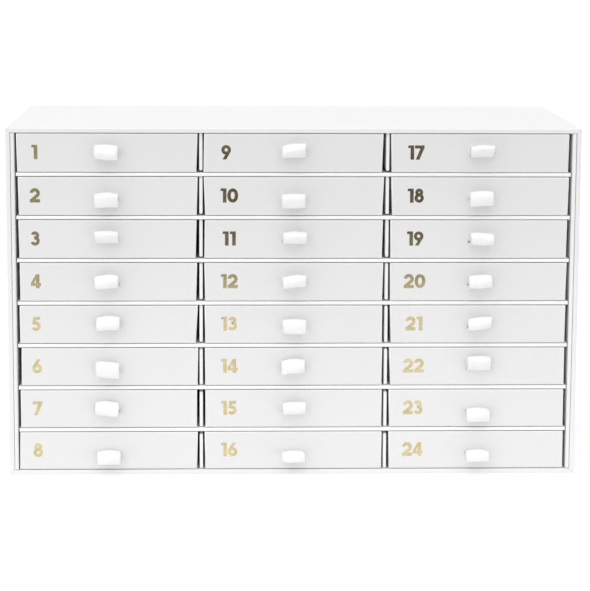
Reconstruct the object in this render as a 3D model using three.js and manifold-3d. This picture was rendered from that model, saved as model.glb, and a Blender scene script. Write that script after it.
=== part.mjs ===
import * as THREE from 'three';
import * as BufferGeometryUtils from 'three/addons/utils/BufferGeometryUtils.js';
import Module from 'manifold-3d';

// A rigid-paperboard advent calendar: a cabinet with 24 pull-out drawers.
// Millimetres. +X right, +Y towards the back, +Z up.
// The origin is the centre of the case's underside.

// Outer case: a sleeve of four boards, closed by a board at the back
const caseWidth = 400;
const caseDepth = 180;
const caseHeight = 246;
const caseBoard = 3.2;
const backBoard = 2.6;

// Liner folded round the left side, the back and the right side
const linerBoard = 2.6;
const glueLine = 0.3;

// Insert: shelves and dividers that slot into each other
const rowCount = 8;
const columnCount = 3;
const shelfBoard = 2.4;
const dividerBoard = 2.4;
const shelfEndGap = 0.8;
const dividerSetback = 2;
const slotGap = 0.4;

// Drawers: folded trays that run on the shelves
const drawerSetback = 0.6;
const drawerBackGap = 5.5;
const drawerSideGap = 1.6;
const drawerTopGap = 0.5;
const runningGap = 0.3;
const trayWall = 1.4;
const trayFront = 1.8;
const trayBase = 1.2;

// Ribbon pulls: a loop in front of the drawer, two tails glued behind it
const ribbonWidth = 16.5;
const ribbonThickness = 0.4;
const slitBelowTop = 15.3;
const slitGap = 0.35;
const tailFootGap = 1.55;
const pinchLength = 1.2;
const loopLength = 8.2;
const loopFullness = 7;
const loopRise = THREE.MathUtils.degToRad(20);
const loopSteps = 16;

// Workshop values: how far a cut runs past a face, and when two corners count as one
const cutOvershoot = 1;
const weldDistance = 1e-4;

// Sizes worked out from the ones above
const insideHeight = caseHeight - 2 * caseBoard;
const insideHalfWidth = caseWidth / 2 - caseBoard;
const frontY = -caseDepth / 2;
const backY = caseDepth / 2;
const linerOuterHalf = insideHalfWidth - glueLine;
const linerInnerHalf = linerOuterHalf - linerBoard;
const linerBackY = backY - backBoard - glueLine;
const insertBackY = linerBackY - linerBoard - glueLine;
const columnOpening = (2 * linerInnerHalf - (columnCount - 1) * dividerBoard) / columnCount;
const columnPitch = columnOpening + dividerBoard;
const rowOpening = (insideHeight - (rowCount - 1) * shelfBoard) / rowCount;
const rowPitch = rowOpening + shelfBoard;
const halfLapY = (frontY + insertBackY) / 2;
const drawerWidth = columnOpening - 2 * drawerSideGap;
const drawerHeight = rowOpening - drawerTopGap - runningGap;
const drawerFrontY = frontY + drawerSetback;
const drawerDepth = linerBackY - linerBoard - drawerBackGap - drawerFrontY;
const slitHeight = drawerHeight - slitBelowTop;
const tailFoot = trayBase + tailFootGap;
const ribbonDoubled = 2 * ribbonThickness;

// Finishes
const wrappedPaper = { color: 0xf4f4f3, roughness: 0.42, metalness: 0 };
const linerPaper = { color: 0xefefee, roughness: 0.5, metalness: 0 };
const insertPaper = { color: 0xf6f6f5, roughness: 0.5, metalness: 0 };
const drawerPaper = { color: 0xececec, roughness: 0.3, metalness: 0 };
const satinRibbon = { color: 0xfafafa, roughness: 0.55, metalness: 0 };

const wasm = await Module();
wasm.setup();

const calendar = new THREE.Group();

// Turns a drawn outline so that its own x and y lie along two axes of the calendar
const drawnOnPlan = new THREE.Matrix4();
const drawnOnFront = new THREE.Matrix4().makeBasis(
  new THREE.Vector3(1, 0, 0), new THREE.Vector3(0, 0, 1), new THREE.Vector3(0, -1, 0));
const drawnOnSide = new THREE.Matrix4().makeBasis(
  new THREE.Vector3(0, 1, 0), new THREE.Vector3(0, 0, 1), new THREE.Vector3(1, 0, 0));

function extruded(shape, depth, turn, curveSegments = 1) {
  const geometry = new THREE.ExtrudeGeometry(shape, { depth, bevelEnabled: false, curveSegments });
  return geometry.applyMatrix4(turn);
}

function shapeOf(points) {
  return new THREE.Shape(points.map(([x, y]) => new THREE.Vector2(x, y)));
}

function rectangle(left, bottom, right, top) {
  return [[left, bottom], [right, bottom], [right, top], [left, top]];
}

function boxBetween(low, high) {
  const size = high.map((value, axis) => value - low[axis]);
  const centre = high.map((value, axis) => (value + low[axis]) / 2);
  return new THREE.BoxGeometry(...size).translate(...centre);
}

function toSolid(geometry) {
  const bare = geometry.clone();
  bare.deleteAttribute('normal');
  bare.deleteAttribute('uv');
  const merged = BufferGeometryUtils.mergeVertices(bare, weldDistance);
  return new wasm.Manifold(new wasm.Mesh({
    numProp: 3,
    vertProperties: new Float32Array(merged.attributes.position.array),
    triVerts: new Uint32Array(merged.index.array),
  }));
}

function toGeometry(solid) {
  const mesh = solid.getMesh();
  const geometry = new THREE.BufferGeometry();
  geometry.setAttribute('position', new THREE.BufferAttribute(mesh.vertProperties, 3));
  geometry.setIndex(new THREE.BufferAttribute(mesh.triVerts, 1));
  geometry.computeVertexNormals();
  return geometry;
}

function addPiece(name, geometry, finish, x = 0, y = 0, z = 0) {
  const mesh = new THREE.Mesh(geometry, new THREE.MeshStandardMaterial(finish));
  mesh.name = name;
  mesh.position.set(x, y, z);
  calendar.add(mesh);
}

// The sleeve is drawn as it shows from the front, with the opening as a hole
function makeOuterCase() {
  const outline = shapeOf(rectangle(-caseWidth / 2, 0, caseWidth / 2, caseHeight));
  const opening = rectangle(-insideHalfWidth, caseBoard, insideHalfWidth, caseHeight - caseBoard);
  outline.holes.push(shapeOf(opening));
  addPiece('outer_case', extruded(outline, caseDepth, drawnOnFront), wrappedPaper, 0, backY, 0);
}

function makeBackBoard() {
  const low = [-linerOuterHalf, backY - backBoard, caseBoard + glueLine];
  const high = [linerOuterHalf, backY, caseHeight - caseBoard - glueLine];
  addPiece('back_board', boxBetween(low, high), wrappedPaper);
}

function makeInnerLiner() {
  const outline = shapeOf([
    [-linerOuterHalf, frontY],
    [-linerInnerHalf, frontY],
    [-linerInnerHalf, linerBackY - linerBoard],
    [linerInnerHalf, linerBackY - linerBoard],
    [linerInnerHalf, frontY],
    [linerOuterHalf, frontY],
    [linerOuterHalf, linerBackY],
    [-linerOuterHalf, linerBackY],
  ]);
  const height = insideHeight - 2 * glueLine;
  addPiece('inner_liner', extruded(outline, height, drawnOnPlan), linerPaper, 0, 0, caseBoard + glueLine);
}

function dividerX(index) {
  return -linerInnerHalf + (index + 1) * columnOpening + (index + 0.5) * dividerBoard;
}

// A shelf, seen from above, is slotted from its rear edge to its middle
function shelfOutline() {
  const halfWidth = linerInnerHalf - shelfEndGap;
  const points = [
    [-halfWidth, insertBackY],
    [-halfWidth, frontY],
    [halfWidth, frontY],
    [halfWidth, insertBackY],
  ];
  for (let index = columnCount - 2; index >= 0; index -= 1) {
    const left = dividerX(index) - dividerBoard / 2 - slotGap;
    const right = dividerX(index) + dividerBoard / 2 + slotGap;
    points.push([right, insertBackY], [right, halfLapY], [left, halfLapY], [left, insertBackY]);
  }
  return shapeOf(points);
}

function shelfZ(index) {
  return caseBoard + rowOpening + index * rowPitch;
}

function makeShelves() {
  for (let index = 0; index < rowCount - 1; index += 1) {
    const geometry = extruded(shelfOutline(), shelfBoard, drawnOnPlan);
    addPiece(`shelf_${index + 1}`, geometry, insertPaper, 0, 0, shelfZ(rowCount - 2 - index));
  }
}

// A divider, seen from the side, is slotted from its front edge to its middle
function dividerOutline() {
  const dividerFrontY = frontY + dividerSetback;
  const bottom = caseBoard + glueLine;
  const top = caseHeight - caseBoard - glueLine;
  const points = [
    [dividerFrontY, top],
    [insertBackY, top],
    [insertBackY, bottom],
    [dividerFrontY, bottom],
  ];
  for (let index = 0; index < rowCount - 1; index += 1) {
    const low = shelfZ(index) - slotGap;
    const high = shelfZ(index) + shelfBoard + slotGap;
    const slotEnd = halfLapY + slotGap;
    points.push([dividerFrontY, low], [slotEnd, low], [slotEnd, high], [dividerFrontY, high]);
  }
  return shapeOf(points.reverse());
}

function makeDividers() {
  for (let index = 0; index < columnCount - 1; index += 1) {
    const geometry = extruded(dividerOutline(), dividerBoard, drawnOnSide);
    addPiece(`divider_${index + 1}`, geometry, insertPaper, dividerX(index) - dividerBoard / 2, 0, 0);
  }
}

// The tray's own origin is the middle of its front face's lower edge
function trayGeometry() {
  const halfWidth = drawerWidth / 2;
  const outside = toSolid(boxBetween([-halfWidth, 0, 0], [halfWidth, drawerDepth, drawerHeight]));
  const inside = toSolid(boxBetween(
    [-halfWidth + trayWall, trayFront, trayBase],
    [halfWidth - trayWall, drawerDepth - trayWall, drawerHeight + cutOvershoot]));
  const slitHalfWidth = ribbonWidth / 2 + slitGap;
  const slitHalfHeight = ribbonDoubled / 2 + slitGap;
  const slit = toSolid(boxBetween(
    [-slitHalfWidth, -cutOvershoot, slitHeight - slitHalfHeight],
    [slitHalfWidth, trayFront + cutOvershoot, slitHeight + slitHalfHeight]));
  return toGeometry(outside.subtract(inside).subtract(slit));
}

// The inside of the loop is a teardrop, s * sqrt(1 - s) wide at the share s of its length,
// with its point at the pinch and its axis turned up by the rise
function loopInside() {
  const widestShare = 2 / 3;
  const widest = widestShare * Math.sqrt(1 - widestShare);
  const points = [];
  for (let step = 0; step <= loopSteps; step += 1) {
    const turn = 2 * Math.PI * step / loopSteps;
    const share = (1 - Math.cos(turn)) / 2;
    const side = Math.sin(turn) < 0 ? -1 : 1;
    const along = slitGap + pinchLength + loopLength * share;
    const across = side * (loopFullness / 2) * share * Math.sqrt(1 - share) / widest;
    points.push([
      -along * Math.cos(loopRise) + across * Math.sin(loopRise),
      slitHeight + across * Math.cos(loopRise) + along * Math.sin(loopRise),
    ]);
  }
  return points;
}

// Moves each point of a path sideways, square to the path there
function besidePath(points, distance) {
  return points.map(([x, y], index) => {
    const before = points[Math.max(index - 1, 0)];
    const after = points[Math.min(index + 1, points.length - 1)];
    const run = Math.hypot(after[0] - before[0], after[1] - before[1]);
    return [x + distance * (after[1] - before[1]) / run, y - distance * (after[0] - before[0]) / run];
  });
}

// The pull is drawn from the side: tails behind the front, a stem in the slit, the loop in front
function ribbonGeometry() {
  const inside = loopInside();
  const tailFrontY = trayFront + slitGap;
  const tailBackY = tailFrontY + ribbonDoubled;
  const stemTop = slitHeight + ribbonThickness;
  const stemBottom = slitHeight - ribbonThickness;
  const outline = shapeOf([
    [-slitGap, stemTop],
    ...besidePath(inside, ribbonThickness),
    [-slitGap, stemBottom],
    [tailFrontY, stemBottom],
    [tailFrontY, tailFoot],
    [tailBackY, tailFoot],
    [tailBackY, stemTop],
  ]);
  outline.holes.push(shapeOf(inside.slice(0, -1)));
  return extruded(outline, ribbonWidth, drawnOnSide).translate(-ribbonWidth / 2, 0, 0);
}

function drawerName(number) {
  return String(number).padStart(2, '0');
}

// Drawers are numbered down each column in turn
function makeDrawers() {
  for (let column = 0; column < columnCount; column += 1) {
    for (let row = 0; row < rowCount; row += 1) {
      const label = drawerName(column * rowCount + row + 1);
      const x = (column - (columnCount - 1) / 2) * columnPitch;
      const z = caseBoard + (rowCount - 1 - row) * rowPitch + runningGap;
      addPiece(`drawer_${label}`, trayGeometry(), drawerPaper, x, drawerFrontY, z);
      addPiece(`ribbon_pull_${label}`, ribbonGeometry(), satinRibbon, x, drawerFrontY, z);
    }
  }
}

makeOuterCase();
makeBackBoard();
makeInnerLiner();
makeShelves();
makeDividers();
makeDrawers();

export default calendar;
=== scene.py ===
"""A white drawer advent calendar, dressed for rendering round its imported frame.

Twenty-four wrapped paper trays stand in a rigid board case, three columns of eight.
Each tray has a gold foil number and a loop of white satin ribbon to pull it by.
Everything is in metres, in the frame's own axes: +X right, +Y to the back, +Z up.
"""

import logging
import math
import random
from collections.abc import Callable, Iterable
from dataclasses import dataclass, field
from enum import Enum

import bmesh
import bpy
from bmesh.types import BMEdge, BMesh, BMVert
from bpy.types import Material, Mesh, NodeSocket, Object
from mathutils import Matrix, Vector


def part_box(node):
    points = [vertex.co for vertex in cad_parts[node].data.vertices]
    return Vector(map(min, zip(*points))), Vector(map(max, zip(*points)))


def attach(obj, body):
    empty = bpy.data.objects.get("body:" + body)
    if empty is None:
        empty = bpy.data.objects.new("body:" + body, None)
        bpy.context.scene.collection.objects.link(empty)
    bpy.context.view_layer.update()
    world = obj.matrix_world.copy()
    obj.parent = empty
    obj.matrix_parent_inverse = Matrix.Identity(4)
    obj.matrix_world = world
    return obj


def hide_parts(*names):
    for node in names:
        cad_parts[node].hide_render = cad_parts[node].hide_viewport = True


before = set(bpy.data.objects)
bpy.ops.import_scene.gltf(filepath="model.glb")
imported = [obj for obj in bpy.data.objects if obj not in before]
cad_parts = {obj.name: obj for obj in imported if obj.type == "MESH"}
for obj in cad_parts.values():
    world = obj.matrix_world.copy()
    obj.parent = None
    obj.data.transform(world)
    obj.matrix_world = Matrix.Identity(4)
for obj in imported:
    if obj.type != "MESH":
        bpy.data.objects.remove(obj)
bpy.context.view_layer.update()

log = logging.getLogger("calendar")

MM = 0.001
WELD = 1e-6
FLAT_ANGLE = math.radians(1)
SQUARE_ANGLE = math.radians(60)
ROWS = 8
COLUMNS = 3
SEED = 24
Point = tuple[float, float]
Stroke = Callable[[BMesh], object]


# Materials


class Shade:
    """A value in a node tree, which ordinary operators combine."""

    def __init__(self, recipe: "Recipe", socket: NodeSocket) -> None:
        """Keeps the socket and the recipe that it belongs to."""
        self.recipe = recipe
        self.socket = socket

    def math(self, operation: str, first: "Shade | float",
             second: "Shade | float" = 0.0) -> "Shade":
        """Adds one Math node and returns its result."""
        return self.recipe.node("ShaderNodeMath", {"operation": operation}, {0: first, 1: second})

    def __add__(self, other: "Shade | float") -> "Shade":
        """Adds another value."""
        return self.math("ADD", self, other)

    __radd__ = __add__

    def __sub__(self, other: "Shade | float") -> "Shade":
        """Takes another value away."""
        return self.math("SUBTRACT", self, other)

    def __rsub__(self, other: "Shade | float") -> "Shade":
        """Is taken away from another value."""
        return self.math("SUBTRACT", other, self)

    def __mul__(self, other: "Shade | float") -> "Shade":
        """Multiplies by another value."""
        return self.math("MULTIPLY", self, other)

    def __abs__(self) -> "Shade":
        """Drops the sign."""
        return self.math("ABSOLUTE", self)

    def least(self, other: "Shade | float") -> "Shade":
        """Takes the smaller of two values."""
        return self.math("MINIMUM", self, other)

    def most(self, other: "Shade | float") -> "Shade":
        """Takes the larger of two values."""
        return self.math("MAXIMUM", self, other)

    def wave(self) -> "Shade":
        """Takes the sine."""
        return self.math("SINE", self)

    def rise(self, start: float, end: float) -> "Shade":
        """Goes smoothly from 0 at start to 1 at end.

        Args:
            start: The value at which the result leaves 0.
            end: The value at which it reaches 1.

        Returns:
            The eased result, held between 0 and 1.
        """
        return self.recipe.node(
            "ShaderNodeMapRange", {"interpolation_type": "SMOOTHSTEP"},
            {"Value": self, "From Min": start, "From Max": end})


class Recipe:
    """One material's node tree round a Principled shader."""

    def __init__(self, name: str) -> None:
        """Makes the material with an empty tree, a Principled shader and its output.

        Args:
            name: The material's name.
        """
        self.material = bpy.data.materials.new(name)
        self.material.use_nodes = True
        self.tree = self.material.node_tree
        self.tree.nodes.clear()
        self.shader = self.tree.nodes.new("ShaderNodeBsdfPrincipled")
        output = self.tree.nodes.new("ShaderNodeOutputMaterial")
        self.tree.links.new(self.shader.outputs[0], output.inputs["Surface"])
        self.place: Shade | None = None

    def feed(self, socket: NodeSocket, value: object) -> None:
        """Links a shade to a socket, or sets the socket's own value."""
        if isinstance(value, Shade):
            self.tree.links.new(value.socket, socket)
        else:
            socket.default_value = value

    def node(self, kind: str, settings: dict[str, object] | None = None,
             inputs: dict[str | int, object] | None = None, output: str | int = 0) -> Shade:
        """Adds any node.

        Args:
            kind: The node's type.
            settings: Its own settings, which are set first.
            inputs: Values or links for its sockets, by name or number.
            output: The socket to return.

        Returns:
            The chosen output as a shade.
        """
        made = self.tree.nodes.new(kind)
        for key, value in (settings or {}).items():
            setattr(made, key, value)
        for key, value in (inputs or {}).items():
            self.feed(made.inputs[key], value)
        return Shade(self, made.outputs[output])

    def where(self) -> Shade:
        """Gives the point's place in the object's own axes."""
        if self.place is None:
            self.place = self.node("ShaderNodeTexCoord", output="Object")
        return self.place

    def axes(self, vector: Shade) -> tuple[Shade, Shade, Shade]:
        """Splits a vector into its three parts."""
        split = self.node("ShaderNodeSeparateXYZ", inputs={0: vector})
        outputs = split.socket.node.outputs
        return Shade(self, outputs[0]), Shade(self, outputs[1]), Shade(self, outputs[2])

    def noise(self, size: float, detail: float = 2.0, place: Shade | None = None) -> Shade:
        """Adds a noise whose features are about size metres across.

        Args:
            size: The size of one feature.
            detail: How many finer layers it has.
            place: Where it is read, or the object's own place.

        Returns:
            The noise, about 0.5 on average.
        """
        return self.node("ShaderNodeTexNoise", {}, {
            "Vector": place or self.where(), "Scale": 1 / size, "Detail": detail})

    def tint(self, amount: Shade | float, low: object, high: object) -> Shade:
        """Blends two colours, each a colour or a shade."""
        made = self.tree.nodes.new("ShaderNodeMix")
        made.data_type = "RGBA"
        self.feed(made.inputs[0], amount)
        self.feed(made.inputs[6], low)
        self.feed(made.inputs[7], high)
        return Shade(self, made.outputs[2])

    def bump(self, height: Shade, distance: float) -> None:
        """Adds relief of that depth under any relief that is there already."""
        normal = self.shader.inputs["Normal"]
        below = normal.links[0].from_socket if normal.links else None
        made = self.tree.nodes.new("ShaderNodeBump")
        made.inputs["Distance"].default_value = distance
        self.feed(made.inputs["Height"], height)
        if below is not None:
            self.tree.links.new(below, made.inputs["Normal"])
        self.tree.links.new(made.outputs[0], normal)

    def set(self, **values: object) -> None:
        """Sets or links the shader's sockets, with _ for each space in a name."""
        for key, value in values.items():
            self.feed(self.shader.inputs[key.replace("_", " ")], value)


def grey(level: float, warmth: float = 0.0) -> tuple[float, float, float, float]:
    """Gives a neutral colour of that level, a little yellower with warmth."""
    return (level, level * (1 - warmth * 0.4), level * (1 - warmth), 1.0)


@dataclass(frozen=True)
class BoardPaper:
    """Smooth coated paper glued over board."""

    name: str
    level: float
    roughness: float
    warmth: float = 0.004
    cloud: float = 0.012
    tooth: float = 3e-6
    swell: float = 6e-5
    shine: float = 0.0

    def recipe(self) -> tuple[Recipe, Shade]:
        """Makes the paper's colour, roughness and relief.

        Returns:
            The recipe and its plain colour, which a finish may draw on.
        """
        made = Recipe(self.name)
        mottle = made.noise(0.055, 3.0)
        fibre = made.noise(0.0011, 4.0)
        colour = made.tint(
            (mottle * 0.7 + fibre * 0.3).rise(0.3, 0.7),
            grey(self.level * (1 - self.cloud), self.warmth * 1.6),
            grey(min(1.0, self.level * (1 + self.cloud * 0.5)), self.warmth * 0.4))
        made.set(
            Base_Color=colour,
            Roughness=self.roughness + (made.noise(0.004, 3.0) - 0.5) * 0.1,
            Coat_Weight=self.shine, Coat_Roughness=0.3, IOR=1.46)
        made.bump(made.noise(0.03, 1.0), self.swell)
        made.bump(fibre, self.tooth)
        return made, colour

    def material(self) -> Material:
        """Makes the plain paper."""
        return self.recipe()[0].material


@dataclass(frozen=True)
class CasePaper(BoardPaper):
    """The case's wrap, mitred at its front corners: darker along its edges, partly rub wear and
    partly painted shade, with painted shade on its front rim.
    """

    half_width: float = 0.2
    half_depth: float = 0.09
    height: float = 0.246
    rub: float = 0.0008
    hairline: float = 0.00007
    rim_level: float = 0.87
    board: tuple[float, float] = (0.0031, 0.0034)
    scuffing: float = 0.35
    mitre_depth: float = 0.55
    mitre_level: float = 0.42
    scuff_level: float = 0.74
    groove: float = 3e-5

    def material(self) -> Material:
        """Makes the wrap with its mitre hairlines, its worn and painted-shade edges and its
        painted-shade front rim.
        """
        made, colour = self.recipe()
        x, y, z = made.axes(made.where())
        side = self.half_width - abs(x)
        depth = self.half_depth - abs(y)
        rise = z.least(self.height - z)
        nearest = side.least(depth).least(rise)
        farthest = side.most(depth).most(rise)
        second = side + depth + rise - nearest - farthest
        # Darker band along every edge, broken by noise: partly rub wear, partly painted edge
        # shade.
        wear_and_shade = (1 - second.rise(0.0, self.rub)) * made.noise(0.006, 4.0).rise(0.35, 0.75)
        worn_and_shaded = made.tint(wear_and_shade * self.scuffing, colour, grey(self.scuff_level, 0.03))
        corner = 1 - side.most(rise).rise(*self.board)
        mitre = (1 - abs(side - rise).rise(self.hairline, self.hairline * 2.2)) * corner
        # Painted shade: the front rim of the boards is darker than the rest of the wrap.
        front = 1 - (y + self.half_depth).rise(0.0001, 0.0007)
        rim = made.tint(front, worn_and_shaded, grey(self.rim_level, 0.004))
        made.set(Base_Color=made.tint(
            mitre * front * self.mitre_depth, rim, grey(self.mitre_level, 0.02)))
        made.bump(mitre * front * -1, self.groove)
        return made.material


@dataclass(frozen=True)
class FrontPaper(BoardPaper):
    """The trays' laminated wrap, with a painted highlight along the top and side folds of the
    front.
    """

    fold_level: float = 0.97

    def material(self) -> Material:
        """Makes the wrap, reading the fold attribute for the painted highlight along the front's
        edges.
        """
        made, colour = self.recipe()
        fold = made.node("ShaderNodeAttribute", {"attribute_name": "fold"}, output="Fac")
        # Painted highlight: lighter along the front's rounded top and side edges, broken by noise.
        fold_highlight = fold.rise(0.15, 0.95) * (0.75 + made.noise(0.012, 2.0) * 0.4)
        made.set(Base_Color=made.tint(fold_highlight, colour, grey(self.fold_level, 0.004)))
        return made.material


@dataclass(frozen=True)
class Satin:
    """White woven satin ribbon: warp lines along it and a firm selvedge on both sides."""

    width: float
    thread: float = 0.00018
    selvedge: float = 0.0009
    streaks: tuple[float, float, float] = (2600.0, 90.0, 1.0)

    def material(self) -> Material:
        """Makes the satin on the ribbon's own UV map, u across and v along, in metres."""
        made = Recipe("satin_ribbon")
        uv = made.node("ShaderNodeUVMap", {"uv_map": "ribbon"})
        across, along, _ = made.axes(uv)
        warp = (across * (2 * math.pi / self.thread)).wave()
        weft = (along * (2 * math.pi / (self.thread * 2.5))).wave()
        edge = across.least(self.width - across)
        border = 1 - edge.rise(self.selvedge * 0.7, self.selvedge)
        sheen_streak = made.noise(1.0, 3.0, made.node(
            "ShaderNodeVectorMath", {"operation": "MULTIPLY"}, {0: uv, 1: self.streaks}))
        # Painted sheen: lengthwise streaks in the colour. The same streaks also vary the roughness
        # and relief.
        colour = made.tint(sheen_streak.rise(0.3, 0.7), grey(0.9, 0.006), grey(0.935, 0.002))
        made.set(
            Base_Color=made.tint(border * 0.35, colour, grey(0.87, 0.006)),
            Roughness=0.36 + border * 0.14 + (sheen_streak - 0.5) * 0.12,
            Sheen_Weight=0.25, Sheen_Roughness=0.4)
        made.bump(border * 0.8 + sheen_streak * 0.25, 2.5e-5)
        made.bump(warp * 0.5 + weft * 0.2, 6e-6)
        return made.material


@dataclass(frozen=True)
class Foil:
    """Hot-stamped gold foil: bright, a little crushed into the paper, thin in places."""

    bright: tuple[float, float, float, float] = (0.70, 0.60, 0.34, 1.0)
    dull: tuple[float, float, float, float] = (0.60, 0.505, 0.275, 1.0)

    def material(self) -> Material:
        """Makes the foil."""
        made = Recipe("gold_foil")
        crush = made.noise(0.0009, 4.0)
        drift = made.noise(0.006, 2.0)
        bare = made.noise(0.00045, 2.0).rise(0.66, 0.72) * drift.rise(0.45, 0.6)
        gold = made.tint(drift.rise(0.35, 0.65), self.dull, self.bright)
        made.set(
            Base_Color=made.tint(bare * 0.6, gold, grey(0.7, 0.1)),
            Metallic=1 - bare * 0.6,
            Roughness=0.15 + (crush - 0.5) * 0.12 + bare * 0.3)
        made.bump(crush, 8e-6)
        return made.material


# Shared ways of making a piece


def join_flats(bm: BMesh, weld: float) -> None:
    """Joins points closer than weld, and then the faces that lie in one plane."""
    bmesh.ops.remove_doubles(bm, verts=bm.verts, dist=weld)
    bmesh.ops.dissolve_limit(bm, angle_limit=FLAT_ANGLE, verts=bm.verts, edges=bm.edges)


def board_copy(node: str) -> BMesh:
    """Copies a CAD board with its triangles joined into whole faces.

    Args:
        node: The CAD node's name.

    Returns:
        A clean bmesh in the node's place.
    """
    bm = bmesh.new()
    bm.from_mesh(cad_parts[node].data)
    join_flats(bm, WELD)
    return bm


def soften(bm: BMesh, radius: float, segments: int = 3,
           wanted: Callable[[Vector], bool] = lambda point: True,
           need: Callable[[Iterable[bool]], bool] = all) -> None:
    """Rounds outward edges as paper rounds the board that it is wrapped on.

    Args:
        bm: The shape.
        radius: How far from the edge the rounding starts.
        segments: How many flats it has.
        wanted: The test that an edge's ends take.
        need: Whether all of its ends have to pass, or any.
    """
    edges = [edge for edge in bm.edges
             if len(edge.link_faces) == 2 and edge.is_convex
             and edge.calc_face_angle(0) > SQUARE_ANGLE
             and need(wanted(vert.co) for vert in edge.verts)]
    bmesh.ops.bevel(bm, geom=edges, offset=radius, offset_type="OFFSET", affect="EDGES",
                    segments=segments, profile=0.5, material=-1, clamp_overlap=True)


def slab(bm: BMesh, low: Vector, high: Vector) -> list[BMVert]:
    """Adds a box between two corners and returns its vertices."""
    made = bmesh.ops.create_cube(bm, size=1.0)["verts"]
    bmesh.ops.scale(bm, vec=high - low, verts=made)
    bmesh.ops.translate(bm, vec=(low + high) / 2, verts=made)
    return made


class Smoothing(Enum):
    """How a piece's faces are shaded."""

    BOARD = 35
    CLOTH = 60
    FLAT = 0


def show(name: str, bm: BMesh) -> Object:
    """Turns a bmesh into a shown object at the origin, and frees it."""
    mesh = bpy.data.meshes.new(name)
    bm.to_mesh(mesh)
    bm.free()
    made = bpy.data.objects.new(name, mesh)
    bpy.context.scene.collection.objects.link(made)
    return made


def finish_piece(name: str, bm: BMesh, material: Material,
                 smoothing: Smoothing = Smoothing.BOARD) -> Object:
    """Shows a bmesh with its finish and its shading.

    Args:
        name: The object's name.
        bm: Its shape, in place. It is freed.
        material: Its finish.
        smoothing: The angle past which an edge stays sharp.

    Returns:
        The object.
    """
    piece = show(name, bm)
    piece.data.materials.append(material)
    if smoothing is not Smoothing.FLAT:
        piece.data.shade_smooth()
        piece.data.set_sharp_from_angle(angle=math.radians(smoothing.value))
    if smoothing is Smoothing.BOARD:
        weighted = piece.modifiers.new("even_shading", "WEIGHTED_NORMAL")
        weighted.keep_sharp = True
    return piece


def settle(piece: Object, body: str, slot: str, *nodes: str) -> Object:
    """Puts a piece on its body and hides the nodes that it stands for."""
    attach(piece, body)
    if nodes:
        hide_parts(*nodes)
    log.info("%s rides on %s", piece.name, body)
    return piece


# The case and what is fixed in it


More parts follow.
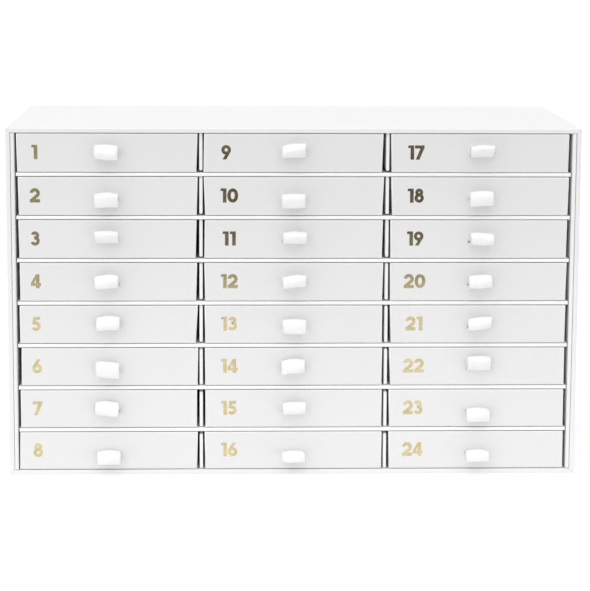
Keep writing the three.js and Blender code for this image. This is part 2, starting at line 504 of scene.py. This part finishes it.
@dataclass
class Cabinet:
    """The wrapped sleeve, its back, the liner, and the slotted shelves and dividers."""

    edge: float = 0.7 * MM
    rim: float = 0.4 * MM
    fold: float = 0.5 * MM
    liner_nose: float = 1.3 * MM
    shelf_nose: float = 0.85 * MM
    divider_nose: float = 0.95 * MM
    half_board: float = 1.5 * MM
    liner_skin: float = 2 * MM
    foot_gaps: tuple[tuple[float, ...], ...] = (
        (1.0, 0.8, 0.8, 0.8, 0.6, 0.1, 0.0, 0.0), (0.9, 0.7, 0.6, 0.5, 0.1, 0.0, 0.0, 0.0))
    head_gaps: tuple[tuple[float, ...], ...] = (
        (0.0, 0.0, 0.0, 0.6, 0.1, 1.0, 1.7, 1.9), (0.0, 0.0, 0.0, 0.5, 0.6, 1.1, 1.7, 1.8))

    def build(self) -> None:
        """Makes every fixed piece."""
        low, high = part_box("outer_case")
        wrap = CasePaper("case_wrap", level=0.93, roughness=0.4, half_width=high.x,
                         half_depth=high.y, height=high.z)
        self.sleeve(low, high, wrap.material())
        self.back(BoardPaper("back_wrap", level=0.91, roughness=0.45).material())
        self.liner(BoardPaper("liner_wrap", level=0.9, roughness=0.5).material())
        insert = BoardPaper("insert_wrap", level=0.97, roughness=0.42).material()
        self.shelves(insert)
        self.dividers(insert)

    def sleeve(self, low: Vector, high: Vector, material: Material) -> None:
        """Rounds the sleeve's outer edges and, more tightly, the rims of its opening."""
        bm = board_copy("outer_case")

        def outside(point: Vector) -> bool:
            """Tells whether a point is on the sleeve's outside."""
            return (min(point.x - low.x, high.x - point.x) < self.half_board
                    or min(point.z - low.z, high.z - point.z) < self.half_board)

        soften(bm, self.edge, 4, outside)
        soften(bm, self.rim, 3, lambda point: not outside(point))
        settle(finish_piece("case_sleeve", bm, material), "cabinet", "case_board", "outer_case")

    def back(self, material: Material) -> None:
        """Rounds the back board's edges."""
        bm = board_copy("back_board")
        soften(bm, self.fold)
        settle(finish_piece("case_back", bm, material), "cabinet", "case_board", "back_board")

    def liner(self, material: Material) -> None:
        """Rounds the liner's two front noses beside the drawers, and its other edges less."""
        bm = board_copy("inner_liner")
        low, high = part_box("inner_liner")
        front, inside = low.y + WELD, high.x - self.liner_skin

        def by_drawers(point: Vector) -> bool:
            """Tells whether a point is on a front edge next to the drawers."""
            return point.y < front and abs(point.x) < inside

        soften(bm, self.liner_nose, 5, by_drawers)
        soften(bm, self.rim)
        settle(finish_piece("case_liner", bm, material), "cabinet", "liner_board", "inner_liner")

    def shelves(self, material: Material) -> None:
        """Rounds each shelf's front nose."""
        for index in range(1, ROWS):
            node = f"shelf_{index}"
            bm = board_copy(node)
            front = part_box(node)[0].y + WELD
            soften(bm, self.shelf_nose, 4, lambda point: point.y < front)
            settle(finish_piece(f"insert_{node}", bm, material), "cabinet", "insert_board", node)

    def dividers(self, material: Material) -> None:
        """Rounds the strips of each divider between the shelves, some short at an end."""
        for index in range(1, COLUMNS):
            node = f"divider_{index}"
            bm = board_copy(node)
            low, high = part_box(node)
            front = low.y + WELD
            lap = (low.y + high.y) / 2
            pitch = (high.z - low.z) / ROWS
            for vert in bm.verts:
                if vert.co.y < lap and low.z + WELD < vert.co.z < high.z - WELD:
                    share, strips_below = math.modf((vert.co.z - low.z) / pitch)
                    row = ROWS - 1 - int(strips_below)
                    if share < 0.5:
                        vert.co.z += self.foot_gaps[index - 1][row] * MM
                    else:
                        vert.co.z -= self.head_gaps[index - 1][row] * MM
            soften(bm, self.divider_nose, 4, lambda point: point.y < front, any)
            settle(finish_piece(f"insert_{node}", bm, material), "cabinet", "insert_board", node)


# The foil numbers


@dataclass
class Nib:
    """A broad nib that draws a flat stroke on the XZ plane, in heights of a figure."""

    bm: BMesh
    at: Point
    heading: float
    width: float
    facet: float = 9.0
    edge: BMEdge = field(init=False)

    def __post_init__(self) -> None:
        """Sets the nib down square to its heading."""
        side = self.along(self.heading + 90) * (self.width / 2)
        start = Vector((self.at[0], 0.0, self.at[1]))
        self.edge = self.bm.edges.new([self.bm.verts.new(start + way) for way in (side, -side)])

    @staticmethod
    def along(angle: float) -> Vector:
        """Gives the direction of an angle in degrees, from +X towards +Z."""
        return Vector((math.cos(math.radians(angle)), 0.0, math.sin(math.radians(angle))))

    def middle(self) -> Vector:
        """Gives the middle of the nib."""
        return (self.edge.verts[0].co + self.edge.verts[1].co) / 2

    def run(self, length: float) -> "Nib":
        """Draws straight on."""
        made = bmesh.ops.extrude_edge_only(self.bm, edges=[self.edge])["geom"]
        verts = [item for item in made if isinstance(item, BMVert)]
        bmesh.ops.translate(self.bm, vec=self.along(self.heading) * length, verts=verts)
        self.edge = next(item for item in made if isinstance(item, BMEdge)
                         and all(vert in verts for vert in item.verts))
        return self

    def turn(self, radius: float, angle: float) -> "Nib":
        """Draws an arc.

        Args:
            radius: The radius of the stroke's middle line.
            angle: How far it turns, in degrees, positive to the left.

        Returns:
            The nib, at the arc's end.
        """
        centre = self.middle() + self.along(self.heading + math.copysign(90, angle)) * radius
        full = abs(angle) > 359.9
        made = bmesh.ops.spin(
            self.bm, geom=[self.edge, *self.edge.verts], cent=centre, axis=(0, -1, 0),
            angle=math.radians(angle), steps=math.ceil(abs(angle) / self.facet),
            use_merge=full)["geom_last"]
        if not full:
            self.edge = next(item for item in made if isinstance(item, BMEdge))
        self.heading += angle
        return self


def shape(*points: Point) -> Stroke:
    """Makes a stroke that is one flat straight-sided piece."""
    return lambda bm: bm.faces.new([bm.verts.new((x, 0.0, z)) for x, z in points])


def block(left: float, foot: float, right: float, head: float) -> Stroke:
    """Makes a stroke that is one upright rectangle."""
    return shape((left, foot), (right, foot), (right, head), (left, head))


@dataclass
class Figures:
    """Bold round figures 0 to 9, drawn with a nib and cut from foil.

    Sizes are in heights of a figure. Each figure is made once and used in every number.
    """

    stroke: float = 0.235
    ring: float = 0.22
    gap: float = 0.06
    depth: float = 0.01
    weld: float = 1e-5
    widths: tuple[float, ...] = (0.74, 0.44, 0.70, 0.655, 0.70, 0.665, 0.67, 0.66, 0.655, 0.67)
    made: dict[int, Mesh] = field(default_factory=dict)

    def strokes(self, digit: int) -> list[Stroke]:
        """Gives a figure's strokes, each a function that draws it flat.

        Args:
            digit: The figure, 0 to 9.

        Returns:
            The strokes, in no set order, which may overlap.
        """
        bar, ring = self.stroke, self.ring
        draw: dict[int, list[Stroke]] = {
            0: [lambda bm: Nib(bm, (0.37 + 0.194, 0.5 - 0.2635), 61.93, bar)
                .turn(0.56, 56.14).turn(0.22, 123.86).turn(0.56, 56.14).turn(0.22, 123.86)],
            1: [block(0.19, 0, 0.44, 1),
                shape((0, 0.83), (0.32, 0.78), (0.32, 1), (0.05, 1))],
            2: [lambda bm: Nib(bm, (0.111, 0.6755), 85, bar).turn(0.235, -223).run(0.54),
                block(0, 0, 0.70, bar)],
            3: [lambda bm: Nib(bm, (0.161, 0.7603), 75, ring).turn(0.175, -255),
                lambda bm: Nib(bm, (0.33, 0.54), 0, ring).turn(0.215, -250),
                block(0.27, 0.43, 0.35, 0.65)],
            4: [block(0, 0.165, 0.70, 0.375),
                block(0.36, 0, 0.595, 1),
                shape((0, 0.36), (0.19, 0.36), (0.38, 0.70), (0.38, 1), (0.355, 1))],
            5: [block(0.13, 0.785, 0.625, 1),
                shape((0.07, 0.47), (0.30, 0.47), (0.36, 1), (0.135, 1)),
                lambda bm: Nib(bm, (0.1845, 0.5084), 38, ring).turn(0.22, -278)],
            6: [lambda bm: Nib(bm, (0.56, 0.335), 90, ring).turn(0.225, 360),
                lambda bm: Nib(bm, (0.14, 0.4475), 60, ring).run(0.85)],
            7: [block(0, 0.78, 0.66, 1),
                shape((0.06, 0), (0.315, 0), (0.66, 0.83), (0.64, 1), (0.46, 1))],
            8: [lambda bm: Nib(bm, (0.33 + 0.165, 0.725), 90, ring).turn(0.165, 360),
                lambda bm: Nib(bm, (0.33 + 0.2175, 0.3275), 90, ring).turn(0.2175, 360)],
            9: [lambda bm: Nib(bm, (0.56, 0.665), 90, ring).turn(0.225, 360),
                lambda bm: Nib(bm, (0.53, 0.5525), 240, ring).run(0.85)],
        }
        return draw[digit]

    def solid(self, draw: Stroke) -> Object:
        """Draws one stroke and gives it the figure's depth, as an object that is removed later."""
        bm = bmesh.new()
        draw(bm)
        bmesh.ops.remove_doubles(bm, verts=bm.verts, dist=self.weld)
        bmesh.ops.recalc_face_normals(bm, faces=bm.faces)
        bmesh.ops.solidify(bm, geom=bm.faces, thickness=self.depth)
        bmesh.ops.recalc_face_normals(bm, faces=bm.faces)
        half = sum(vert.co.y for vert in bm.verts) / len(bm.verts)
        bmesh.ops.translate(bm, vec=(0, -half, 0), verts=bm.verts)
        return show("stroke", bm)

    def figure(self, digit: int) -> Mesh:
        """Joins a figure's strokes into one solid, cut level at its foot and head.

        Args:
            digit: The figure, 0 to 9.

        Returns:
            The figure's mesh, its foot on the X axis and its height 1.
        """
        if digit in self.made:
            return self.made[digit]
        parts = [self.solid(draw) for draw in self.strokes(digit)]
        bm = bmesh.new()
        slab(bm, Vector((-1, -1, 0)), Vector((2, 1, 1)))
        trim = show("stroke", bm)
        base = parts[0]
        for other, operation in [*((part, "UNION") for part in parts[1:]), (trim, "INTERSECT")]:
            join = base.modifiers.new("join", "BOOLEAN")
            join.operation = operation
            join.solver = "EXACT"
            join.object = other
        shown = base.evaluated_get(bpy.context.evaluated_depsgraph_get())
        mesh = bpy.data.meshes.new_from_object(shown)
        for part in [*parts, trim]:
            bpy.data.meshes.remove(part.data)
        bm = bmesh.new()
        bm.from_mesh(mesh)
        join_flats(bm, self.weld)
        bm.to_mesh(mesh)
        bm.free()
        self.made[digit] = mesh
        return mesh

    def number(self, value: int, centre: Vector, height: float, depth: float) -> BMesh:
        """Sets a number's figures side by side.

        Args:
            value: The number.
            centre: The middle of the number, on the board's face.
            height: The figures' height.
            depth: How far the foil reaches through the face, to both sides together.

        Returns:
            The number's shape, in place.
        """
        digits = [int(letter) for letter in str(value)]
        total = sum(self.widths[digit] for digit in digits) + self.gap * (len(digits) - 1)
        bm = bmesh.new()
        left = -total / 2
        for digit in digits:
            known = set(bm.verts)
            bm.from_mesh(self.figure(digit))
            fresh = [vert for vert in bm.verts if vert not in known]
            edge = min(vert.co.x for vert in fresh)
            place = (Matrix.Translation(centre)
                     @ Matrix.Diagonal((height, depth / self.depth, height, 1.0))
                     @ Matrix.Translation((left - edge, 0, -0.5)))
            bmesh.ops.transform(bm, matrix=place, verts=fresh)
            left += self.widths[digit] + self.gap
        return bm


# The drawers


class Bare(Enum):
    """The end of the slit that a ribbon leaves bare."""

    LEFT = -1
    NEITHER = 0
    RIGHT = 1


@dataclass(frozen=True)
class Sit:
    """How one tray and its ribbon sit, as each one differs in a thing made by hand.

    The gaps are tenths of a millimetre more than the nominal gap beside the tray's front:
    left top, left bottom, right top, right bottom. The loop rises and tilts in degrees, is
    so many millimetres full, and lies to the right of the slit in tenths of a millimetre.
    """

    gaps: tuple[float, float, float, float]
    rise: float
    full: float
    tilt: float
    lean: float
    bare: Bare = Bare.NEITHER


SITS = {
    1: Sit((-3, 2, -6, 3), 28, 9, 5, -2), 2: Sit((5, 9, -6, 1), -10, 9, -2, -2),
    3: Sit((5, 9, 2, 9), 42, 5, 1, -2), 4: Sit((10, 11, -1, 6), 28, 8, -5, -5, Bare.RIGHT),
    5: Sit((5, 6, -6, 9), 46, 9, -4, 3), 6: Sit((15, 12, -8, -3), 3, 10, 9, -3, Bare.RIGHT),
    7: Sit((4, 4, 2, 2), 34, 9, 8, -10, Bare.RIGHT), 8: Sit((-3, -8, -4, 2), -34, 8, 0, 2),
    9: Sit((-5, -10, 4, 12), 42, 7, -12, -5), 10: Sit((-8, 1, -3, 7), -18, 9, -2, -6),
    11: Sit((-1, -5, 2, 7), 36, 6, 0, 6, Bare.LEFT),
    12: Sit((-5, 0, -4, 2), 28, 7, -8, 4, Bare.LEFT),
    13: Sit((-4, 1, 0, 0), 10, 9, 2, 4), 14: Sit((-2, 0, -3, 0), 32, 9, -9, -4),
    15: Sit((1, 1, -3, -2), 32, 7, -6, 6), 16: Sit((-5, 0, -5, -4), -16, 5, 0, 2),
    17: Sit((-7, -1, 8, 12), 38, 5, -4, 3, Bare.LEFT), 18: Sit((-3, 6, 4, 9), 6, 9, -2, 4),
    19: Sit((-6, -3, 10, 13), 26, 7, 3, 12, Bare.LEFT),
    20: Sit((-5, -2, 6, 11), 28, 8, -5, 5, Bare.LEFT),
    21: Sit((-2, 6, 8, 10), 32, 7, -10, 4, Bare.LEFT),
    22: Sit((-5, 6, 9, 8), 58, 6, 0, 5, Bare.LEFT),
    23: Sit((-5, 2, 9, 8), -34, 8, 0, 4), 24: Sit((-3, 2, 6, 4), -14, 6, 0, 4),
}


@dataclass
class Ribbon:
    """A satin loop through the slit of a tray's front, its two tails glued behind."""

    width: float = 16.5 * MM
    thickness: float = 0.28 * MM
    layer: float = 0.21 * MM
    stem_lift: float = 0.1 * MM
    bend: float = 3.0 * MM
    loop: float = 28.0 * MM
    gather: float = 0.04
    pinch: float = 0.02
    rounding: float = 0.13
    crown: float = 1.3 * MM
    wall: float = 1.8 * MM
    tail: float = 8.6 * MM
    tail_gap: float = 0.55 * MM
    flare: float = 0.03
    ruffle: float = 0.28 * MM
    waves: Point = (0.7, 1.5)
    first_reach: float = 0.4
    damping: float = 0.9
    tries: int = 10
    smoothings: int = 3
    lean_at_slit: float = 0.1
    gather_reach: float = 0.55
    crown_reach: float = 1.2
    loop_steps: int = 48
    across_steps: int = 12
    along_steps: int = 110

    def teardrop(self, reach: float, rise: float, full: float) -> list[Vector]:
        """Draws the loop from the side, out along its upper layer and back along its lower one.

        Its middle line bends up as it leaves the slit and then runs straight.

        Args:
            reach: How far it comes out of the slit.
            rise: The angle that it bends up to, in radians.
            full: How far its two layers stand apart.

        Returns:
            Its points, with the slit's middle at the origin.
        """
        radius = self.bend / rise
        widest = (2 / 3) * math.sqrt(1 / 3)
        points = []
        for step in range(1, self.loop_steps):
            turn = 2 * math.pi * step / self.loop_steps
            share = (1 - math.cos(turn)) / 2
            along = share * reach
            angle = along / radius if along < self.bend else rise
            rest = max(along - self.bend, 0.0)
            swell = full / 2 * share * math.sqrt(1 - share) / widest + self.layer
            swell = math.copysign(swell, math.sin(turn))
            y = -radius * math.sin(angle) - rest * math.cos(rise)
            z = radius * (1 - math.cos(angle)) + rest * math.sin(rise)
            points.append(Vector((
                0, y + math.sin(angle) * swell, z + math.cos(angle) * swell + self.stem_lift)))
        return points

    def side_view(self, rise: float, full: float) -> list[Vector]:
        """Draws the ribbon from the side, from one tail's end to the other's.

        Every loop takes the same length of ribbon, so a fuller one comes out less far.

        Args:
            rise: The angle that the loop bends up to, in radians.
            full: How far its two layers stand apart.

        Returns:
            Points one step apart, with the slit's middle at the origin.
        """
        lift = self.stem_lift
        front_tail = self.wall + self.tail_gap
        back_tail = front_tail + 2 * self.layer
        reach = self.loop * self.first_reach
        for _ in range(self.tries):
            share = run_length(self.teardrop(reach, rise, full)) / self.loop
            reach *= 1 + self.damping * (1 - share)
        rough = [Vector((0, back_tail, -self.tail)), Vector((0, back_tail, lift))]
        rough.append(Vector((0, 0, lift + self.layer)))
        rough += self.teardrop(reach, rise, full)
        rough.append(Vector((0, 0, lift - self.layer)))
        rough += [Vector((0, front_tail, z)) for z in (lift - 2 * self.layer, -self.tail)]
        even = resample(rough, self.along_steps)
        for _ in range(self.smoothings):
            inner = [(before + 2 * here + after) / 4
                     for before, here, after in zip(even, even[1:], even[2:])]
            even = [even[0], *inner, even[-1]]
        return even

    def build(self, label: str, slit: Vector, sit: Sit, tray: Object, material: Material,
              chance: random.Random) -> None:
        """Makes one pull.

        Args:
            label: The drawer's number in two figures.
            slit: The middle of the slit on the tray's face.
            sit: How the loop hangs.
            tray: The piece that it hangs from. Not used.
            material: The satin.
            chance: The source of the small differences.
        """
        path = self.side_view(math.radians(sit.rise), sit.full * MM)
        steps = len(path) - 1
        length = run_length(path)
        tallest = max(-point.y for point in path)
        bm = bmesh.new()
        uv = bm.loops.layers.uv.new("ribbon")
        bmesh.ops.create_grid(
            bm, x_segments=self.across_steps, y_segments=steps, size=1.0, calc_uvs=True)
        for face in bm.faces:
            for loop in face.loops:
                loop[uv].uv = (loop[uv].uv.x * self.width, loop[uv].uv.y * length)
        phase = chance.uniform(0, 2 * math.pi)
        waves = chance.uniform(*self.waves)
        left, right = (self.gather + (self.pinch if sit.bare is side else 0.0)
                       for side in (Bare.LEFT, Bare.RIGHT))
        tilt = math.tan(math.radians(sit.tilt))
        for vert in bm.verts:
            across = vert.co.x / 2
            index = round((vert.co.y + 1) / 2 * steps)
            point = path[index]
            out = max(-point.y, 0.0) / tallest
            freed = min(max(-point.z, 0.0) / self.tail, 1.0) if point.y > 0 else 0.0
            gathered = (1 - min(out / self.gather_reach, 1.0)) ** 2 * (1 - freed)
            near = 1 - self.rounding * (2 * across) ** 4 if point.y < 0 else 1.0
            narrow = 1 - (left if across < 0 else right) * gathered
            offset = across * self.width * narrow
            swing = math.sin(math.pi * min(out * self.crown_reach, 1.0))
            bulge = self.crown * (0.25 - across * across) * 4 * swing
            ripple = self.ruffle * out * math.sin(waves * 2 * math.pi * across + phase)
            lean = self.lean_at_slit + (1 - self.lean_at_slit) * out
            vert.co = slit + Vector((
                offset * (1 + self.flare * out) + sit.lean * 0.1 * MM * lean,
                point.y * near - ripple,
                point.z - tilt * offset * out + ripple + (bulge if index < steps / 2 else 0.0)))
        piece = finish_piece(f"ribbon_loop_{label}", bm, material, Smoothing.CLOTH)
        skin = piece.modifiers.new("cloth", "SOLIDIFY")
        skin.thickness = self.thickness
        skin.offset = 0.0
        settle(piece, f"drawer_{label}", "satin_ribbon", f"ribbon_pull_{label}")


def run_length(points: list[Vector]) -> float:
    """Measures a line of points."""
    return sum((after - before).length for before, after in zip(points, points[1:]))


def resample(points: list[Vector], steps: int) -> list[Vector]:
    """Walks a line of points in equal steps.

    Args:
        points: The line.
        steps: The number of steps.

    Returns:
        One more point than there are steps, the line's two ends among them.
    """
    lengths = [(after - before).length for before, after in zip(points, points[1:])]
    total = sum(lengths)
    walked = []
    index, behind = 0, 0.0
    for step in range(steps + 1):
        target = total * step / steps
        while index < len(lengths) - 1 and behind + lengths[index] < target:
            behind += lengths[index]
            index += 1
        share = (target - behind) / lengths[index]
        walked.append(points[index].lerp(points[index + 1], min(max(share, 0.0), 1.0)))
    return walked


@dataclass
class Drawer:
    """One tray with its inner lining, foil number and ribbon pull."""

    number: int
    edge: float = 0.5 * MM
    foot_edge: float = 1.1 * MM
    slit_edge: float = 0.12 * MM
    fold_margin: float = 0.45 * MM
    wall: float = 1.4 * MM
    front_wall: float = 1.8 * MM
    base: float = 1.2 * MM
    slit_below_top: float = 15.3 * MM
    slit_half_width: float = 8.9 * MM
    slit_foot: float = 0.25
    rim_depth: float = 2 * MM
    slit_tuck: float = 0.6 * MM
    turn_in: float = 7.5 * MM
    lining: float = 0.16 * MM
    lining_gap: float = 0.5 * MM
    tail_room: float = 2.0 * MM
    number_height: float = 10.0 * MM
    number_below_top: float = 12.9 * MM
    number_inset: tuple[float, float] = (12.2 * MM, 16.8 * MM)
    nine_inset: float = 14.8 * MM
    foil: float = 0.1 * MM

    def __post_init__(self) -> None:
        """Reads the tray's place from the frame."""
        self.label = f"{self.number:02d}"
        self.node = f"drawer_{self.label}"
        self.low, self.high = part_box(self.node)
        self.middle = (self.low.x + self.high.x) / 2
        self.sit = SITS[self.number]

    def fit(self, bm: BMesh) -> None:
        """Leans the two sides as this tray's do, most at the front and nothing at the back."""
        height = self.high.z - self.low.z
        half = (self.high.x - self.low.x) / 2
        left_top, left_foot, right_top, right_foot = (gap * 0.1 * MM for gap in self.sit.gaps)
        for vert in bm.verts:
            rise = (vert.co.z - self.low.z) / height
            depth = (vert.co.y - self.low.y) / (self.high.y - self.low.y)
            fade = 1 - max(0.0, min(1.0, depth))
            left = left_foot + (left_top - left_foot) * rise
            right = right_foot + (right_top - right_foot) * rise
            share = (vert.co.x - self.middle) / half
            vert.co.x += fade * (left * max(0.0, -share) - right * max(0.0, share))

    def tray(self, material: Material) -> Object:
        """Rounds the tray's edges and marks the folds of its front where the highlight is painted.
        """
        bm = board_copy(self.node)
        fold = bm.verts.layers.float.new("fold")
        slit_zone = self.low.z + self.slit_foot * (self.high.z - self.low.z)
        inside = self.high.z - self.rim_depth

        def by_slit(point: Vector) -> bool:
            """Tells whether a point is on the slit's rim."""
            return (abs(point.x - self.middle) < self.slit_half_width
                    and slit_zone < point.z < inside
                    and point.y < self.low.y + 2 * self.front_wall)

        for vert in bm.verts:
            if by_slit(vert.co):
                vert.co.x -= math.copysign(self.slit_tuck, vert.co.x - self.middle)
        foot = self.low.z + WELD
        face = self.low.y + WELD
        soften(bm, self.foot_edge, 4, lambda point: point.z < foot and point.y < face)
        soften(bm, self.edge, 3, lambda point: not by_slit(point))
        soften(bm, self.slit_edge, 2, by_slit)
        bm.normal_update()
        front = [face for face in bm.faces
                 if face.normal.y < -0.999 and face.calc_center_median().y < self.low.y + WELD]
        bmesh.ops.inset_region(bm, faces=front, thickness=self.fold_margin, use_even_offset=True)
        flat = {vert for face in front for vert in face.verts}
        # The fold attribute marks the painted highlight: the front's rounded top and side edges,
        # not its foot or slit.
        for vert in bm.verts:
            near = vert.co.y < self.low.y + self.foot_edge + WELD
            above_foot = vert.co.z > self.low.z + self.foot_edge + self.fold_margin + WELD
            vert[fold] = float(near and above_foot and vert not in flat and not by_slit(vert.co))
        self.fit(bm)
        piece = finish_piece(f"tray_{self.label}", bm, material)
        return settle(piece, self.node, "drawer_board", self.node)

    def inner_lining(self, material: Material) -> None:
        """Lays the floor sheet and the band of wrap that is turned in over the walls."""
        bm = bmesh.new()
        low = self.low + Vector((self.wall, self.front_wall, self.base))
        high = self.high - Vector((self.wall, self.wall, self.edge))
        gap = self.lining_gap
        slab(bm, low + Vector((gap, self.tail_room, 0)),
             Vector((high.x - gap, high.y - gap, low.z + self.lining)))
        known = set(bm.faces)
        slab(bm, Vector((low.x, low.y, high.z - self.turn_in)), high)
        walls = [face for face in bm.faces if face not in known and abs(face.normal.z) < 0.5]
        caps = [face for face in bm.faces if face not in known and face not in walls]
        bmesh.ops.delete(bm, geom=caps, context="FACES")
        bmesh.ops.solidify(bm, geom=walls, thickness=self.lining)
        self.fit(bm)
        piece = finish_piece(f"lining_{self.label}", bm, material, Smoothing.FLAT)
        settle(piece, self.node, "drawer_board")

    def foil_number(self, figures: Figures, material: Material) -> None:
        """Stamps the number on the front."""
        inset = self.number_inset[len(str(self.number)) - 1]
        if self.number == 9:
            inset = self.nine_inset
        centre = Vector((self.low.x + inset, self.low.y, self.high.z - self.number_below_top))
        bm = figures.number(self.number, centre, self.number_height, self.foil)
        piece = finish_piece(f"number_{self.label}", bm, material, Smoothing.FLAT)
        settle(piece, self.node, "gold_foil")

    def build(self, papers: dict[str, Material], figures: Figures, ribbon: Ribbon,
              chance: random.Random) -> None:
        """Makes the whole drawer."""
        tray = self.tray(papers["front"])
        self.inner_lining(papers["lining"])
        self.foil_number(figures, papers["foil"])
        slit = Vector((self.middle, self.low.y, self.high.z - self.slit_below_top))
        ribbon.build(self.label, slit, self.sit, tray, papers["satin"], chance)


# The studio


@dataclass
class Studio:
    """A pale sweep, even white light, a dark card that the foil mirrors, and the camera."""

    floor_size: float = 40.0
    floor_drop: float = 0.2 * MM
    floor_glow: float = 0.52
    white: float = 0.5
    cards_near: float = 0.78
    cards_far: float = 8.0
    cards_sides: tuple[float, float, float] = (-6.0, 7.0, -0.3)
    card_lift: float = 1 * MM
    dark: float = 0.04
    grey: float = 0.4
    shade: float = 0.45
    shade_size: Point = (1.6, 3.0)
    shade_place: tuple[float, float, float] = (1.5, 0.2, 0.81)
    sheet_over: float = 0.04
    sheet_glow: float = 1.1
    sky: float = 0.66
    softbox: float = 1.65
    softbox_spread: float = 85.0
    softbox_height: float = 66.0
    softbox_turn: float = -14.0
    sensor: float = 36.0
    sight: float = 100.0
    focal_px: float = 2022.5
    frame_px: float = 591.0
    shift_px: float = 80.0
    eye: tuple[float, float, float] = (-41.9 * MM, -1394.7 * MM, 385.1 * MM)
    yaw: float = 1.742
    pitch: float = 8.153
    roll: float = 0.274

    def build(self) -> None:
        """Makes the floor, the light and the camera."""
        self.floor()
        self.cards()
        self.light()
        self.camera()

    @staticmethod
    def matt(name: str, level: float, glow: float = 0.0) -> Material:
        """Makes a dull grey finish, which may give off white light of its own."""
        made = Recipe(name)
        made.set(Base_Color=grey(level), Roughness=0.9, Emission_Color=grey(1.0),
                 Emission_Strength=glow)
        return made.material

    def floor(self) -> None:
        """Lays a wide white floor that keeps its tone close to the case."""
        self.flat("studio_floor", self.matt("studio_floor", self.white, self.floor_glow),
                  (self.floor_size, self.floor_size), 0.0, (0, 0, -self.floor_drop))

    def cards(self) -> None:
        """Sets a dark card and a grey one in front, which the foil mirrors, and one at the right.

        The camera sees none of them. It alone sees a white sheet over the two in front, where
        they would keep the light off the floor.
        """
        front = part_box("outer_case")[0].y
        near, far = front - self.cards_near, front - self.cards_far
        left, right, split = self.cards_sides
        deep, centre = near - far, (near + far) / 2
        for name, level, size, turn, middle in (
                ("studio_dark_card", self.dark, (right - split, deep), 0.0,
                 ((split + right) / 2, centre, self.card_lift)),
                ("studio_grey_card", self.grey, (split - left, deep), 0.0,
                 ((left + split) / 2, centre, self.card_lift)),
                ("studio_shade_card", self.shade, self.shade_size, 90.0, self.shade_place)):
            self.flat(name, self.matt(name, level), size, turn, middle).visible_camera = False
        sheet = self.flat("studio_sheet", self.matt("studio_sheet", self.white, self.sheet_glow),
                          (right - left + self.sheet_over, deep + self.sheet_over), 0.0,
                          ((left + right) / 2, centre, self.card_lift / 2))
        sheet.visible_diffuse = False
        sheet.visible_glossy = False
        sheet.visible_shadow = False

    def flat(self, name: str, material: Material, size: Point, turn: float,
             middle: tuple[float, float, float]) -> Object:
        """Makes one flat rectangle of the studio.

        Args:
            name: Its name.
            material: Its finish.
            size: Its two sides, the first along X before it is turned.
            turn: How far it is turned up about Y, in degrees.
            middle: Where its middle is.

        Returns:
            The rectangle.
        """
        bm = bmesh.new()
        bmesh.ops.create_grid(bm, x_segments=1, y_segments=1, size=0.5)
        bmesh.ops.scale(bm, vec=(*size, 1), verts=bm.verts)
        turned = Matrix.Rotation(math.radians(turn), 3, "Y")
        bmesh.ops.rotate(bm, cent=(0, 0, 0), matrix=turned, verts=bm.verts)
        bmesh.ops.translate(bm, vec=middle, verts=bm.verts)
        made = finish_piece(name, bm, material, Smoothing.FLAT)
        return made

    def light(self) -> None:
        """Lights everything from a white sky and a broad softbox high in front."""
        world = bpy.data.worlds.new("studio")
        world.use_nodes = True
        background = world.node_tree.nodes["Background"]
        background.inputs[0].default_value = grey(1.0)
        background.inputs[1].default_value = self.sky
        bpy.context.scene.world = world
        softbox = bpy.data.lights.new("softbox", "SUN")
        softbox.energy = self.softbox
        softbox.angle = math.radians(self.softbox_spread)
        lamp = bpy.data.objects.new("softbox", softbox)
        lamp.rotation_euler = (
            math.radians(90 - self.softbox_height), 0, math.radians(self.softbox_turn))
        bpy.context.scene.collection.objects.link(lamp)
        bpy.context.scene.view_settings.view_transform = "Standard"

    def camera(self) -> None:
        """Sets the camera as the photograph was taken."""
        data = bpy.data.cameras.new("camera")
        data.sensor_width = self.sensor
        data.lens = self.focal_px * data.sensor_width / self.frame_px
        data.shift_y = -self.shift_px / self.frame_px
        data.clip_end = self.sight
        yaw, pitch, roll = (math.radians(angle) for angle in (self.yaw, self.pitch, self.roll))
        level = math.cos(pitch)
        ahead = Vector((math.sin(yaw) * level, math.cos(yaw) * level, -math.sin(pitch)))
        right = ahead.cross(Vector((0, 0, 1))).normalized()
        up = right.cross(ahead)
        tilted = right * math.cos(roll) + up * math.sin(roll)
        turned = Matrix((tilted, tilted.cross(ahead), -ahead)).transposed()
        camera = bpy.data.objects.new("camera", data)
        front = Vector((0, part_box("outer_case")[0].y, 0))
        camera.matrix_world = Matrix.Translation(Vector(self.eye) + front) @ turned.to_4x4()
        bpy.context.scene.collection.objects.link(camera)
        bpy.context.scene.camera = camera


def main() -> None:
    """Builds the calendar and its studio."""
    logging.basicConfig(level=logging.INFO, format="%(message)s")
    Studio().build()
    Cabinet().build()
    ribbon = Ribbon()
    papers = {
        "front": FrontPaper("drawer_wrap", level=0.825, roughness=0.3, shine=0.55).material(),
        "lining": BoardPaper("drawer_lining", level=0.86, roughness=0.55).material(),
        "satin": Satin(ribbon.width).material(),
        "foil": Foil().material(),
    }
    figures = Figures()
    chance = random.Random(SEED)
    for number in range(1, ROWS * COLUMNS + 1):
        Drawer(number).build(papers, figures, ribbon, chance)


if __name__ == "__main__":
    main()
